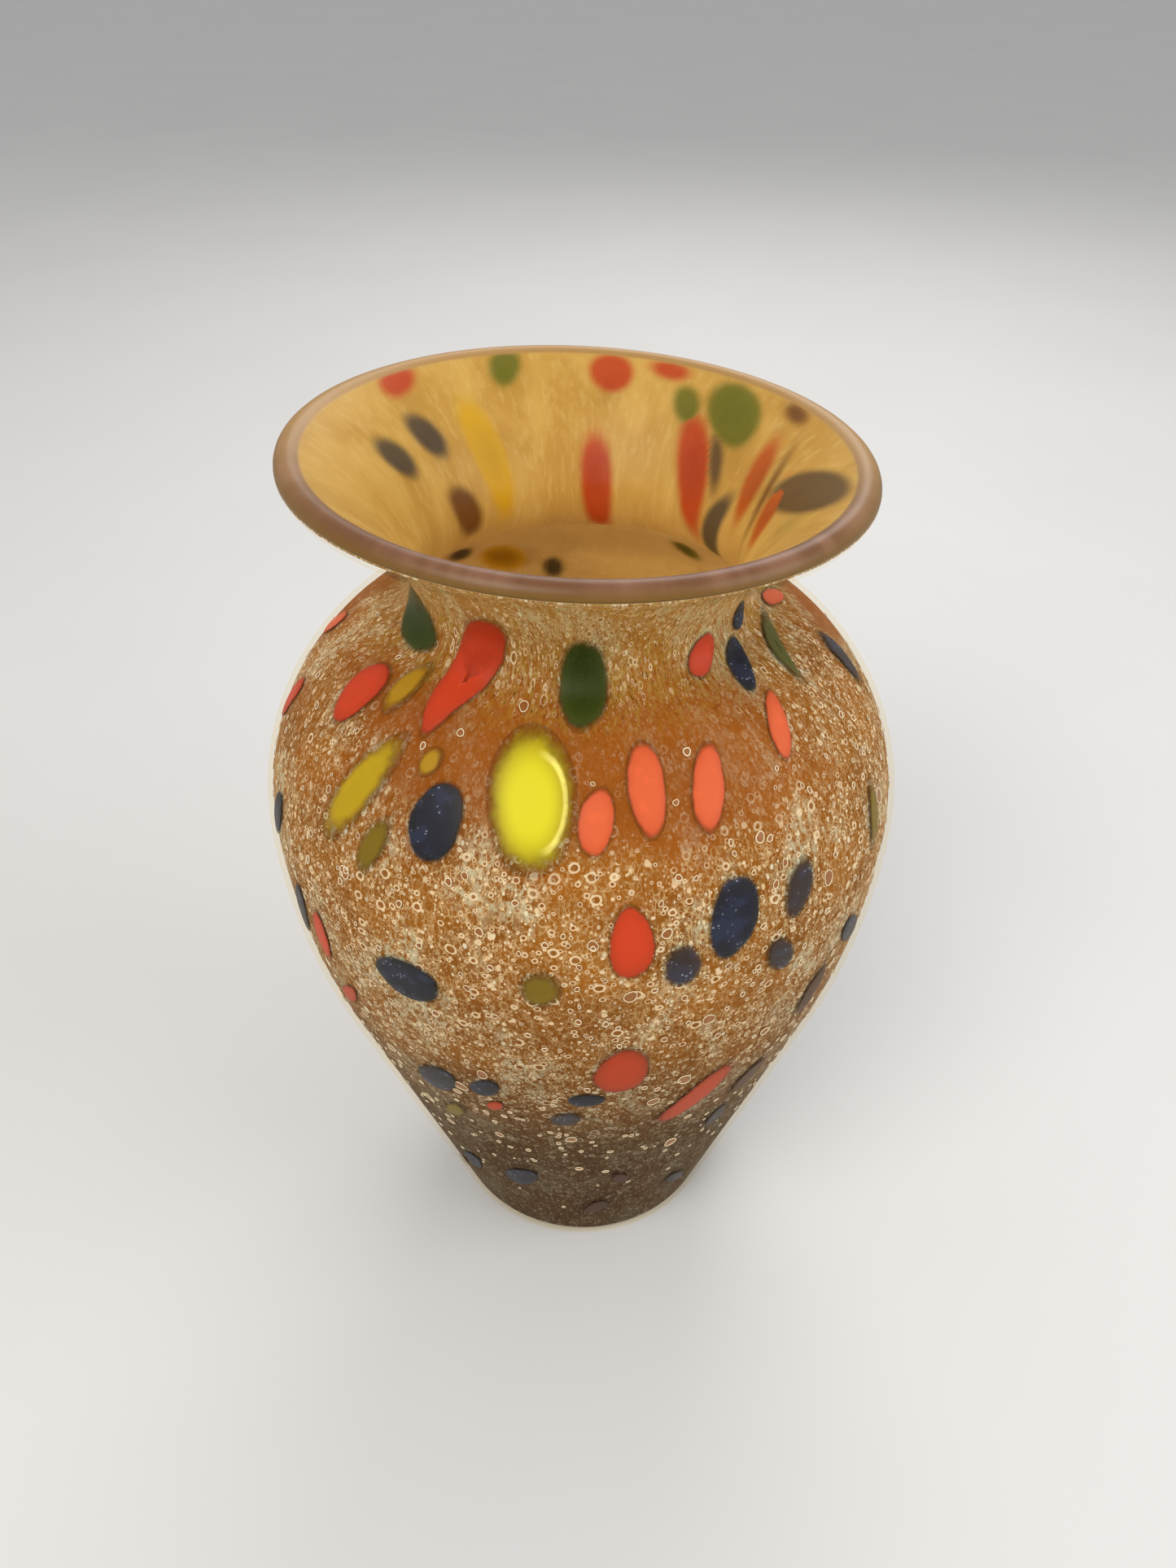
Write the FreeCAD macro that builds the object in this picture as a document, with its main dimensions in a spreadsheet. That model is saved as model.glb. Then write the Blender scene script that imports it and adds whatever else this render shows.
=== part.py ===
import FreeCAD, Part
import math
import os
import Sketcher

# A hand blown art glass vase in cased glass, standing on its foot at z = 0.
# From the inside out: a thick amber gather, a thin bubbly frit layer, chips of
# coloured glass, and a clear satin overlay whose inner face is pocketed round them.

os.makedirs("parts", exist_ok=True)
doc = FreeCAD.newDocument("vase")


# ---------------------------------------------------------------- sizes

MAIN_SIZES = [
    ("height", 279.0, "foot to the top of the lip"),
    ("rim_radius", 75.0, "widest circle of the lip edge"),
    ("rim_widest_height", 276.0, "height of that circle"),
    ("rim_inner_radius", 70.0, "inner crease of the lip edge"),
    ("rim_lower_angle", 56.0, "how far round the lip edge the outer crease lies"),
    ("belly_radius", 92.5, "widest circle of the body"),
    ("belly_height", 175.0, "height of that circle"),
    ("lower_arc", 205.0, "radius of the long curve under the belly"),
    ("wall_lean", 16.8, "lean of the straight lower wall from upright, in degrees"),
    ("foot_corner", 4.0, "rounding of the foot"),
    ("shoulder_arc", 67.0, "radius of the shoulder curve"),
    ("neck_radius", 47.2, "narrowest outside radius"),
    ("neck_arc", 9.0, "radius of the tight curve at the neck"),
    ("neck_lean", 24.0, "lean at which the lip curve starts, in degrees"),
    ("wall", 4.4, "wall thickness of the body"),
    ("floor_height", 9.0, "thickness of the base"),
    ("floor_corner", 14.0, "rounding inside the base"),
    ("skin", 0.7, "clear glass over a chip"),
    ("casing", 1.6, "thickness of the clear overlay"),
    ("frit_end", 2.1, "depth of the inside of the frit layer"),
    ("pontil_radius", 14.0, "ground hollow under the foot"),
    ("pontil_depth", 0.9, "depth of that hollow"),
    ("chip_reach_out", 4.0, "how far a chip cutter stands out of the wall"),
    ("chip_reach_in", 8.0, "how far a chip cutter goes into the wall"),
]

sheet = doc.addObject("Spreadsheet::Sheet", "Sizes")
next_row = 1


def add_cell(alias, content, note=""):
    global next_row
    sheet.set("A%d" % next_row, note)
    sheet.set("B%d" % next_row, str(content))
    sheet.setAlias("B%d" % next_row, alias)
    next_row += 1


def size(alias):
    return float(sheet.get(alias))


for alias, value, note in MAIN_SIZES:
    add_cell(alias, value, note)

# Centres that every layer of the wall shares.
SHARED = [
    ("lower_centre_r", "=belly_radius - lower_arc"),
    ("shoulder_centre_r", "=belly_radius - shoulder_arc"),
    ("neck_centre_r", "=neck_radius + neck_arc"),
    ("join_angle", "=acos((neck_centre_r - shoulder_centre_r) / (shoulder_arc + neck_arc))"),
    ("join_cos", "=(neck_centre_r - shoulder_centre_r) / (shoulder_arc + neck_arc)"),
    ("join_sin", "=sqrt(1 - join_cos ^ 2)"),
    ("neck_centre_z", "=belly_height + (shoulder_arc + neck_arc) * join_sin"),
    ("neck_cos", "=cos(neck_lean)"),
    ("neck_sin", "=sin(neck_lean)"),
    ("wall_cos", "=cos(wall_lean)"),
    ("wall_sin", "=sin(wall_lean)"),
    ("edge_radius", "=((rim_radius - rim_inner_radius) ^ 2 + (height - rim_widest_height) ^ 2)"
                    " / (2 * (rim_radius - rim_inner_radius))"),
    ("edge_centre_r", "=rim_radius - edge_radius"),
    ("edge_low_r", "=edge_centre_r + edge_radius * cos(rim_lower_angle)"),
    ("edge_low_z", "=rim_widest_height - edge_radius * sin(rim_lower_angle)"),
    ("lip_start_r", "=neck_centre_r - neck_arc * neck_cos"),
    ("lip_start_z", "=neck_centre_z + neck_arc * neck_sin"),
    ("lip_arc", "=((edge_low_r - lip_start_r) ^ 2 + (edge_low_z - lip_start_z) ^ 2)"
                " / (2 * ((edge_low_r - lip_start_r) * neck_cos - (edge_low_z - lip_start_z) * neck_sin))"),
    ("lip_centre_r", "=lip_start_r + lip_arc * neck_cos"),
    ("lip_centre_z", "=lip_start_z - lip_arc * neck_sin"),
    ("edge_gap_r", "=edge_centre_r - lip_centre_r"),
    ("edge_gap_z", "=rim_widest_height - lip_centre_z"),
    ("edge_gap", "=sqrt(edge_gap_r ^ 2 + edge_gap_z ^ 2)"),
]
for alias, formula in SHARED:
    add_cell(alias, formula)


def add_layer(layer, depth, floor, corner, last_layer=False):
    """Cells for the joints of one wall curve that lies `depth` inside the outer one."""
    cells = [
        ("depth", "=" + depth),
        ("floor_z", "=" + floor),
        ("corner", "=" + corner),
        ("lower_radius", "=lower_arc - {n}_depth"),
        ("top_r", "=lower_centre_r + {n}_lower_radius * wall_cos"),
        ("top_z", "=belly_height - {n}_lower_radius * wall_sin"),
        ("run", "=({n}_top_z + {n}_corner * wall_sin - {n}_floor_z - {n}_corner) / wall_cos"),
        ("low_r", "={n}_top_r - {n}_run * wall_sin"),
        ("low_z", "={n}_top_z - {n}_run * wall_cos"),
        ("foot_r", "={n}_low_r - {n}_corner * wall_cos"),
        ("belly_r", "=belly_radius - {n}_depth"),
        ("shoulder_radius", "=shoulder_arc - {n}_depth"),
        ("join_r", "=shoulder_centre_r + {n}_shoulder_radius * join_cos"),
        ("join_z", "=belly_height + {n}_shoulder_radius * join_sin"),
        ("neck_bend", "=neck_arc + {n}_depth"),
        ("start_r", "=neck_centre_r - {n}_neck_bend * neck_cos"),
        ("start_z", "=neck_centre_z + {n}_neck_bend * neck_sin"),
    ]
    if last_layer:
        cells += [
            ("end_r", "=rim_inner_radius"),
            ("end_z", "=height"),
            ("lip_radius", "=(({n}_end_r - {n}_start_r) ^ 2 + ({n}_end_z - {n}_start_z) ^ 2) / (2 * "
                           "(({n}_end_r - {n}_start_r) * neck_cos - ({n}_end_z - {n}_start_z) * neck_sin))"),
        ]
    else:
        cells += [
            ("lip_radius", "=lip_arc + {n}_depth"),
            ("along", "=(edge_gap ^ 2 + {n}_lip_radius ^ 2 - edge_radius ^ 2) / (2 * edge_gap)"),
            ("aside", "=sqrt({n}_lip_radius ^ 2 - {n}_along ^ 2)"),
            ("end_r", "=lip_centre_r + ({n}_along * edge_gap_r + {n}_aside * edge_gap_z) / edge_gap"),
            ("end_z", "=lip_centre_z + ({n}_along * edge_gap_z - {n}_aside * edge_gap_r) / edge_gap"),
        ]
    for name, formula in cells:
        add_cell(layer + "_" + name, formula.replace("{n}", layer))


add_layer("outside", "0", "0", "foot_corner")
add_layer("chiptop", "skin", "skin", "foot_corner - skin")
add_layer("overlay", "casing", "casing", "foot_corner - casing")
add_layer("frit", "frit_end", "frit_end", "foot_corner - frit_end")
add_layer("inside", "wall", "floor_height", "floor_corner", last_layer=True)
doc.recompute()


# ---------------------------------------------------------------- shells of revolution

class Outline:
    """A closed sketch in the XZ plane whose joints and radii come from the sheet."""

    def __init__(self, body, name):
        plane = [f for f in body.Origin.OriginFeatures if f.Role == "XZ_Plane"][0]
        self.sketch = body.newObject("Sketcher::SketchObject", name)
        self.sketch.AttachmentSupport = [(plane, "")]
        self.sketch.MapMode = "FlatFace"
        self.count = 0

    def bind(self, kind, where, alias):
        value = abs(size(alias))
        if kind == "Radius":
            index = self.sketch.addConstraint(Sketcher.Constraint(kind, where[0], value))
        else:
            index = self.sketch.addConstraint(Sketcher.Constraint(kind, -1, 1, where[0], where[1], value))
        self.sketch.setExpression("Constraints[%d]" % index, "Sizes." + alias)

    def join(self, first, first_end, second, second_end):
        self.sketch.addConstraint(Sketcher.Constraint("Coincident", first, first_end, second, second_end))

    def line(self, start, end):
        a = FreeCAD.Vector(start[0], start[1], 0)
        b = FreeCAD.Vector(end[0], end[1], 0)
        return self.sketch.addGeometry(Part.LineSegment(a, b))

    def arc(self, start, end, radius, side):
        """Arc through two points; side +1 puts its centre left of the way from start to end."""
        mid_r = (start[0] + end[0]) / 2
        mid_z = (start[1] + end[1]) / 2
        dr = end[0] - start[0]
        dz = end[1] - start[1]
        chord = math.hypot(dr, dz)
        rise = math.sqrt(max(radius ** 2 - chord ** 2 / 4, 0))
        centre = (mid_r - side * dz / chord * rise, mid_z + side * dr / chord * rise)
        angle_a = math.atan2(start[1] - centre[1], start[0] - centre[0])
        angle_b = math.atan2(end[1] - centre[1], end[0] - centre[0])
        if side < 0:
            angle_a, angle_b = angle_b, angle_a
        circle = Part.Circle(FreeCAD.Vector(centre[0], centre[1], 0), FreeCAD.Vector(0, 0, 1), radius)
        return self.sketch.addGeometry(Part.ArcOfCircle(circle, angle_a, angle_b))

    def wall_curve(self, layer):
        """The curve of one layer from the axis to the lip; returns its end handles."""
        def at(name_r, name_z):
            return (size(layer + "_" + name_r), size(name_z if "_" in name_z else layer + "_" + name_z))

        floor = layer + "_floor_z"
        axis_point = (0.0, size(floor))
        foot = (size(layer + "_foot_r"), size(floor))
        low = (size(layer + "_low_r"), size(layer + "_low_z"))
        top = (size(layer + "_top_r"), size(layer + "_top_z"))
        belly = (size(layer + "_belly_r"), size("belly_height"))
        join = (size(layer + "_join_r"), size(layer + "_join_z"))
        start = (size(layer + "_start_r"), size(layer + "_start_z"))
        end = (size(layer + "_end_r"), size(layer + "_end_z"))

        base = self.line(axis_point, foot)
        corner = self.arc(foot, low, size(layer + "_corner"), +1)
        wall = self.line(low, top)
        lower = self.arc(top, belly, size(layer + "_lower_radius"), +1)
        shoulder = self.arc(belly, join, size(layer + "_shoulder_radius"), +1)
        neck = self.arc(join, start, size(layer + "_neck_bend"), -1)
        lip = self.arc(start, end, size(layer + "_lip_radius"), -1)

        # An arc that runs clockwise keeps its start at its second handle.
        self.join(base, 2, corner, 1)
        self.join(corner, 2, wall, 1)
        self.join(wall, 2, lower, 1)
        self.join(lower, 2, shoulder, 1)
        self.join(shoulder, 2, neck, 2)
        self.join(neck, 1, lip, 2)

        self.sketch.addConstraint(Sketcher.Constraint("PointOnObject", base, 1, -2))
        if size(floor) > 0:
            self.bind("DistanceY", (base, 1), floor)
            self.bind("DistanceY", (base, 2), floor)
        else:
            self.sketch.addConstraint(Sketcher.Constraint("PointOnObject", base, 1, -1))
            self.sketch.addConstraint(Sketcher.Constraint("PointOnObject", base, 2, -1))
        self.bind("DistanceX", (base, 2), layer + "_foot_r")
        for geometry, handle, name in ((corner, 2, "low"), (wall, 2, "top"), (shoulder, 2, "join"),
                                       (lip, 2, "start"), (lip, 1, "end")):
            self.bind("DistanceX", (geometry, handle), layer + "_" + name + "_r")
            self.bind("DistanceY", (geometry, handle), layer + "_" + name + "_z")
        self.bind("DistanceX", (lower, 2), layer + "_belly_r")
        self.bind("DistanceY", (lower, 2), "belly_height")
        for geometry, name in ((corner, "corner"), (lower, "lower_radius"), (shoulder, "shoulder_radius"),
                               (neck, "neck_bend"), (lip, "lip_radius")):
            self.bind("Radius", (geometry,), layer + "_" + name)
        return (base, 1), (lip, 1)


def revolve(body, sketch):
    turn = body.newObject("PartDesign::Revolution", body.Name + "_turn")
    turn.Profile = sketch
    turn.ReferenceAxis = (sketch, ["V_Axis"])
    turn.Angle = 360
    return turn


def layer_body(label, outer, inner):
    """A closed shell between two wall curves, with its share of the rounded lip edge."""
    body = doc.addObject("PartDesign::Body", label)
    outline = Outline(body, label + "_outline")
    outer_foot, outer_end = outline.wall_curve(outer)
    inner_foot, inner_end = outline.wall_curve(inner)
    start = (size(outer + "_end_r"), size(outer + "_end_z"))
    end = (size(inner + "_end_r"), size(inner + "_end_z"))
    edge = outline.arc(start, end, size("edge_radius"), +1)
    outline.join(outer_end[0], outer_end[1], edge, 1)
    outline.join(edge, 2, inner_end[0], inner_end[1])
    outline.bind("Radius", (edge,), "edge_radius")
    axis = outline.line((0, size(inner + "_floor_z")), (0, size(outer + "_floor_z")))
    outline.join(inner_foot[0], inner_foot[1], axis, 1)
    outline.join(axis, 2, outer_foot[0], outer_foot[1])
    revolve(body, outline.sketch)
    return body


def core_body(label, layer):
    """Everything inside one wall curve, closed across the mouth."""
    body = doc.addObject("PartDesign::Body", label)
    outline = Outline(body, label + "_outline")
    foot, end = outline.wall_curve(layer)
    end_point = (size(layer + "_end_r"), size(layer + "_end_z"))
    lid = outline.line(end_point, (0, end_point[1]))
    axis = outline.line((0, end_point[1]), (0, size(layer + "_floor_z")))
    outline.join(end[0], end[1], lid, 1)
    outline.join(lid, 2, axis, 1)
    outline.join(axis, 2, foot[0], foot[1])
    outline.sketch.addConstraint(Sketcher.Constraint("Horizontal", lid))
    revolve(body, outline.sketch)
    return body


def add_pontil(body):
    """The shallow ground hollow where the iron was broken off, under the foot."""
    outline = Outline(body, "pontil_outline")
    radius = size("pontil_radius")
    depth = size("pontil_depth")
    bowl_radius = (radius ** 2 + depth ** 2) / (2 * depth)
    axis = outline.line((0, 0), (0, depth))
    bowl = outline.arc((radius, 0), (0, depth), bowl_radius, +1)
    base = outline.line((radius, 0), (0, 0))
    sketch = outline.sketch
    outline.join(axis, 2, bowl, 2)
    outline.join(bowl, 1, base, 1)
    outline.join(base, 2, axis, 1)
    sketch.addConstraint(Sketcher.Constraint("Coincident", axis, 1, -1, 1))
    sketch.addConstraint(Sketcher.Constraint("PointOnObject", axis, 2, -2))
    sketch.addConstraint(Sketcher.Constraint("PointOnObject", base, 1, -1))
    sketch.addConstraint(Sketcher.Constraint("PointOnObject", bowl, 3, -2))
    outline.bind("DistanceY", (axis, 2), "pontil_depth")
    outline.bind("DistanceX", (base, 1), "pontil_radius")
    groove = body.newObject("PartDesign::Groove", "pontil_hollow")
    groove.Profile = sketch
    groove.ReferenceAxis = (sketch, ["V_Axis"])
    groove.Angle = 360
    groove.Reversed = False


gather = layer_body("inner_gather", "frit", "inside")
frit = layer_body("frit_layer", "overlay", "frit")
blank = layer_body("overlay_blank", "outside", "overlay")
add_pontil(blank)
core = core_body("chip_core", "chiptop")
doc.recompute()


# ---------------------------------------------------------------- chips of coloured glass

# name, degrees round from the front, height, length, width, lean to the right in degrees
CHIPS = [
    ("yellow_large", -9, 222, 36, 22, -7),
    ("green_centre", 1, 241, 17, 12, 4),
    ("red_large", -33, 237, 35, 13, 16),
    ("red_left", -59, 228, 22, 13, 10),
    ("olive_left", -48, 233, 16, 7, 4),
    ("yellow_long", -44, 215, 38, 11, 19),
    ("amber_faint", -31, 225, 9, 6, 13),
    ("olive_low_left", -37, 205, 19, 8, 15),
    ("navy_left", -26, 215, 21, 14, 3),
    ("green_neck_left", -62, 242, 20, 10, -80),
    ("pink_shoulder_left", -96, 224, 14, 8, 30),
    ("red_left_edge", -83, 210, 19, 8, 20),
    ("red_centre", 3, 219, 17, 8, 13),
    ("red_small_right", 39, 240, 12, 7, 55),
    ("navy_neck", 61, 243, 9, 5, 60),
    ("navy_right_upper", 50, 236, 17, 7, 30),
    ("red_right_long", 47, 227, 20, 6, 26),
    ("green_streak", 67, 234, 26, 6, 39),
    ("pink_right", 91, 236, 14, 6, -60),
    ("slate_right", 84, 222, 21, 9, 12),
    ("red_middle", 13, 224, 25, 10, 5),
    ("red_middle_right", 25, 222, 24, 9, 21),
    ("olive_right_edge", 62, 193, 22, 7, 14),
    ("navy_large_right", 25, 193, 25, 14, 12),
    ("navy_dark_right", 38, 193, 18, 10, 20),
    ("slate_small_right", 34, 175, 15, 9, -30),
    ("brown_low", 16, 183, 14, 11, -8),
    ("red_pear", 8, 193, 21, 11, 0),
    ("navy_right_edge", 56, 159, 18, 9, -40),
    ("maroon_right_edge", 46, 146, 21, 10, 20),
    ("orange_low", 7, 143, 25, 16, 10),
    ("red_low_long", 23, 118, 38, 12, 30),
    ("maroon_low", 37, 112, 21, 10, 15),
    ("slate_low_right", 34, 88, 18, 8, 0),
    ("navy_low_flat", 1, 128, 11, 8, 80),
    ("slate_low_flat", -3, 114, 12, 9, 30),
    ("navy_left_edge", -68, 187, 18, 9, 20),
    ("navy_left_low", -59, 163, 24, 8, 15),
    ("red_left_low", -51, 163, 20, 8, 5),
    ("orange_left_low", -47, 143, 17, 6, 40),
    ("navy_low_left", -29, 170, 22, 15, 86),
    ("olive_low", -6, 178, 13, 10, 9),
    ("navy_foot_left", -29, 122, 23, 12, 30),
    ("navy_foot_left_2", -18, 128, 14, 8, 31),
    ("red_foot", 5, 29, 16, 9, 20),
]

# Small chips low on the wall, and the ones in the lip, share a node by colour.
CHIP_GROUPS = [
    ("chips_foot_small", [
        (-17, 117, 9, 5, 30),
        (-29, 100, 18, 7, 28),
        (-37, 46, 20, 8, 20),
        (-50, 26, 16, 6, 20),
        (-18, 54, 22, 11, 25),
        (11, 58, 12, 7, -14),
        (33, 36, 18, 8, -29),
    ]),
    ("chips_lip_red", [
        (-130, 269, 9, 7, -60),
        (172, 267, 10, 9, 0),
        (157, 270, 8, 4, 80),
        (118, 269, 8, 4, 80),
        (138, 255, 18, 9, 22),
        (174, 251, 12, 8, 6),
        (110, 259, 14, 7, 20),
        (93, 257, 11, 6, 30),
    ]),
    ("chips_lip_navy", [
        (-128, 261, 11, 8, 30),
        (-112, 260, 11, 8, 40),
        (126, 262, 11, 5, 30),
        (75, 262, 18, 12, -70),
    ]),
    ("chips_lip_yellow", [
        (-147, 257, 17, 9, 9),
        (-131, 250, 7, 6, 30),
    ]),
    ("chips_lip_green", [
        (-160, 269, 9, 8, -30),
        (148, 264, 8, 6, 40),
        (135, 268, 12, 8, 70),
    ]),
]

# The far side carries the same mix of colours at the same spacing. Rows go round the
# wall between these two directions, each row turned by half a step from the one below.
BACK_FROM = 108.0
BACK_TO = 258.0
BACK_ROWS = [
    # height, chips in the row, longest chip
    (58, 3, 20),
    (92, 4, 24),
    (126, 4, 26),
    (158, 5, 24),
    (186, 5, 24),
]
# Chips high on the far side, which can be seen through the mouth.
BACK_SEEN = [
    ("chips_back_yellow", 200, 212, 23, 14, 41),
    ("chips_back_navy", 187, 203, 12, 7, 8),
    ("chips_back_navy", 213, 220, 12, 8, 30),
    ("chips_back_green", 152, 220, 14, 7, 20),
    ("chips_back_red", 236, 214, 20, 10, -15),
    ("chips_back_red", 122, 212, 18, 9, 15),
]
BACK_COLOURS = ["chips_back_red", "chips_back_navy", "chips_back_yellow", "chips_back_red",
                "chips_back_green"]


def back_chips():
    """Chips of the far side, as a list for each colour."""
    groups = {}
    for group, *chip in BACK_SEEN:
        groups.setdefault(group, []).append(tuple(chip))
    number = 0
    for row, (height, count, longest) in enumerate(BACK_ROWS):
        step = (BACK_TO - BACK_FROM) / count
        for place in range(count):
            sway = math.sin(2.4 * number + row)
            azimuth = BACK_FROM + step * (place + 0.5 + 0.22 * sway + 0.18 * (row % 2))
            length = longest * (0.72 + 0.28 * math.cos(1.7 * number))
            width = length * (0.46 + 0.12 * math.sin(3.1 * number))
            chip = (azimuth, height + 7 * math.sin(1.3 * number), length, width, 30 * sway)
            groups.setdefault(BACK_COLOURS[(number + row) % len(BACK_COLOURS)], []).append(chip)
            number += 1
    return groups


chip_sheet = doc.addObject("Spreadsheet::Sheet", "Chips")
chip_row = 1


def add_chip_sizes(name, length, width):
    global chip_row
    for part, value in (("long", length), ("wide", width)):
        chip_sheet.set("A%d" % chip_row, name + " " + part)
        chip_sheet.set("B%d" % chip_row, "%.2f" % value)
        chip_sheet.setAlias("B%d" % chip_row, name + "_" + part)
        chip_row += 1


def wall_at(height):
    """Radius of the outer wall at a height, and the angle of its outward normal above level."""
    neck_z = size("neck_centre_z")
    if height < size("outside_top_z"):
        radius = size("outside_top_r") - (size("outside_top_z") - height) * math.tan(math.radians(size("wall_lean")))
        return radius, -size("wall_lean")
    if height < size("belly_height"):
        centre_r, centre_z, radius, side = size("lower_centre_r"), size("belly_height"), size("lower_arc"), 1
    elif height < size("outside_join_z"):
        centre_r, centre_z, radius, side = size("shoulder_centre_r"), size("belly_height"), size("shoulder_arc"), 1
    elif height < size("outside_start_z"):
        centre_r, centre_z, radius, side = size("neck_centre_r"), neck_z, size("neck_arc"), -1
    else:
        centre_r, centre_z, radius, side = size("lip_centre_r"), size("lip_centre_z"), size("lip_arc"), -1
    angle = side * math.degrees(math.asin((height - centre_z) / radius))
    reach = math.sqrt(radius ** 2 - (height - centre_z) ** 2)
    return centre_r + side * reach, angle


def chip_place(azimuth, height, lean):
    """Placement on the wall: local Z points out of the glass, local X along the chip."""
    radius, tilt = wall_at(height)
    a = math.radians(azimuth)
    t = math.radians(tilt)
    out = FreeCAD.Vector(math.sin(a), -math.cos(a), 0)
    right = FreeCAD.Vector(math.cos(a), math.sin(a), 0)
    normal = out * math.cos(t) + FreeCAD.Vector(0, 0, math.sin(t))
    up = normal.cross(right)
    along = up * math.cos(math.radians(lean)) + right * math.sin(math.radians(lean))
    across = normal.cross(along)
    turn = FreeCAD.Rotation(along, across, normal, "ZXY")
    return FreeCAD.Placement(out * radius + FreeCAD.Vector(0, 0, height), turn)


plugs = []


def make_chip(name, azimuth, height, lean):
    """One oval chip of the overlay's thickness, cut from the shell between skin and frit."""
    oval = doc.addObject("Part::Ellipse", name + "_oval")
    oval.setExpression("MajorRadius", "Chips.%s_long / 2" % name)
    oval.setExpression("MinorRadius", "Chips.%s_wide / 2" % name)
    oval.Placement = chip_place(azimuth, height, lean)
    prism = doc.addObject("Part::Extrusion", name + "_prism")
    prism.Base = oval
    prism.DirMode = "Normal"
    prism.Solid = True
    prism.setExpression("LengthFwd", "Sizes.chip_reach_out")
    prism.setExpression("LengthRev", "Sizes.chip_reach_in")
    plug = doc.addObject("Part::Common", name + "_plug")
    plug.Base = prism
    plug.Tool = core
    chip = doc.addObject("Part::Common", name)
    chip.Base = plug
    chip.Tool = blank
    plugs.append(plug)
    return chip


nodes = {"inner_gather": gather, "frit_layer": frit}
groups = CHIP_GROUPS + sorted(back_chips().items())

for name, azimuth, height, length, width, lean in CHIPS:
    add_chip_sizes("chip_" + name, length, width)
for group, members in groups:
    for index, (azimuth, height, length, width, lean) in enumerate(members):
        add_chip_sizes("%s_n%d" % (group, index + 1), length, width)
chip_sheet.recompute()

for name, azimuth, height, length, width, lean in CHIPS:
    nodes["chip_" + name] = make_chip("chip_" + name, azimuth, height, lean)

for group, members in groups:
    chips = []
    for index, (azimuth, height, length, width, lean) in enumerate(members):
        chips.append(make_chip("%s_n%d" % (group, index + 1), azimuth, height, lean))
    together = doc.addObject("Part::Compound", group)
    together.Links = chips
    nodes[group] = together

all_plugs = doc.addObject("Part::Compound", "all_plugs")
all_plugs.Links = plugs
overlay = doc.addObject("Part::Cut", "outer_casing")
overlay.Base = blank
overlay.Tool = all_plugs
nodes["outer_casing"] = overlay
doc.recompute()


# ---------------------------------------------------------------- check and export

for item in doc.Objects:
    if "Invalid" in item.State or "Error" in item.State:
        raise RuntimeError("%s did not build: %s" % (item.Label, item.State))

for label, item in nodes.items():
    item.Label = label
    shape = item.Shape
    if shape.isNull() or not shape.isValid() or not shape.Solids:
        raise RuntimeError("%s is not a valid solid" % label)
    shape.exportStep("parts/%s.step" % label)
    print("%-24s solids %2d  volume %9.1f mm3" % (label, len(shape.Solids), shape.Volume))
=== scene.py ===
import math

import bpy
import numpy as np
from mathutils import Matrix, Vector


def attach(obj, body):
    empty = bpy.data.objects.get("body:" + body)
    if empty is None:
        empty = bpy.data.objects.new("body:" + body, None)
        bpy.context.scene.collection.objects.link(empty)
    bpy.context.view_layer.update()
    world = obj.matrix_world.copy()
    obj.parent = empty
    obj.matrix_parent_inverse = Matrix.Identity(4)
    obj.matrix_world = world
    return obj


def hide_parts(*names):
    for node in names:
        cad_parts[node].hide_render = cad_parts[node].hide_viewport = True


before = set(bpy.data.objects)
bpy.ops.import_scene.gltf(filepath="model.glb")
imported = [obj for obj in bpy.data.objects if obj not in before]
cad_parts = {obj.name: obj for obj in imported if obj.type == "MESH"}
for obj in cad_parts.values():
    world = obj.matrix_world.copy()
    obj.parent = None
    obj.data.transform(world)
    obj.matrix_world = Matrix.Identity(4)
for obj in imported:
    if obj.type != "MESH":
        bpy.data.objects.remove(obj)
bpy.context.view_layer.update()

# Sizes of the glass in millimetres, as in the CAD model.
MM = 0.001
HEIGHT = 279.0
RIM_RADIUS = 75.0
RIM_WIDEST_HEIGHT = 276.0
RIM_INNER_RADIUS = 70.0
RIM_LOWER_ANGLE = math.radians(56)
BELLY_RADIUS = 92.5
BELLY_HEIGHT = 175.0
LOWER_ARC = 205.0
WALL_LEAN = math.radians(16.8)
FOOT_CORNER = 4.0
SHOULDER_ARC = 67.0
NECK_RADIUS = 47.2
NECK_ARC = 9.0
NECK_LEAN = math.radians(24)
WALL = 4.4
FLOOR_HEIGHT = 9.0
FLOOR_CORNER = 14.0
CASING = 1.6
FRIT_END = 2.1
PATTERN_RADIUS = 70.0      # one radius for the patterns of the whole wall, between neck and belly

# The lip is a little out of true: its left side stands higher than its right.
LIP_TILT = math.radians(2.6)
TILT_FROM = 236.0

TURNS = 320                # points round the vase


# ---------------------------------------------------------------- the wall

def arc(centre, radius, start, end, count):
    """Points of an arc from one angle to another, as (radius, height)."""
    angles = np.linspace(start, end, count)
    return np.stack([centre[0] + radius * np.cos(angles), centre[1] + radius * np.sin(angles)], 1)


def straight(start, end, count):
    """Points of a straight line, as (radius, height)."""
    share = np.linspace(0, 1, count)[:, None]
    return np.array(start) * (1 - share) + np.array(end) * share


def lip_curve(start, end):
    """Centre and radius of the arc that leaves `start` at the neck's lean and passes `end`."""
    out = np.array([math.cos(NECK_LEAN), -math.sin(NECK_LEAN)])
    gap = np.array(end) - np.array(start)
    radius = gap @ gap / (2 * gap @ out)
    return np.array(start) + radius * out, radius


def edge_circle():
    """Centre and radius of the rounded lip edge, and the point where it meets the outside."""
    step = RIM_RADIUS - RIM_INNER_RADIUS
    radius = (step ** 2 + (HEIGHT - RIM_WIDEST_HEIGHT) ** 2) / (2 * step)
    centre = np.array([RIM_RADIUS - radius, RIM_WIDEST_HEIGHT])
    low = centre + radius * np.array([math.cos(RIM_LOWER_ANGLE), -math.sin(RIM_LOWER_ANGLE)])
    return centre, radius, low


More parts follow.
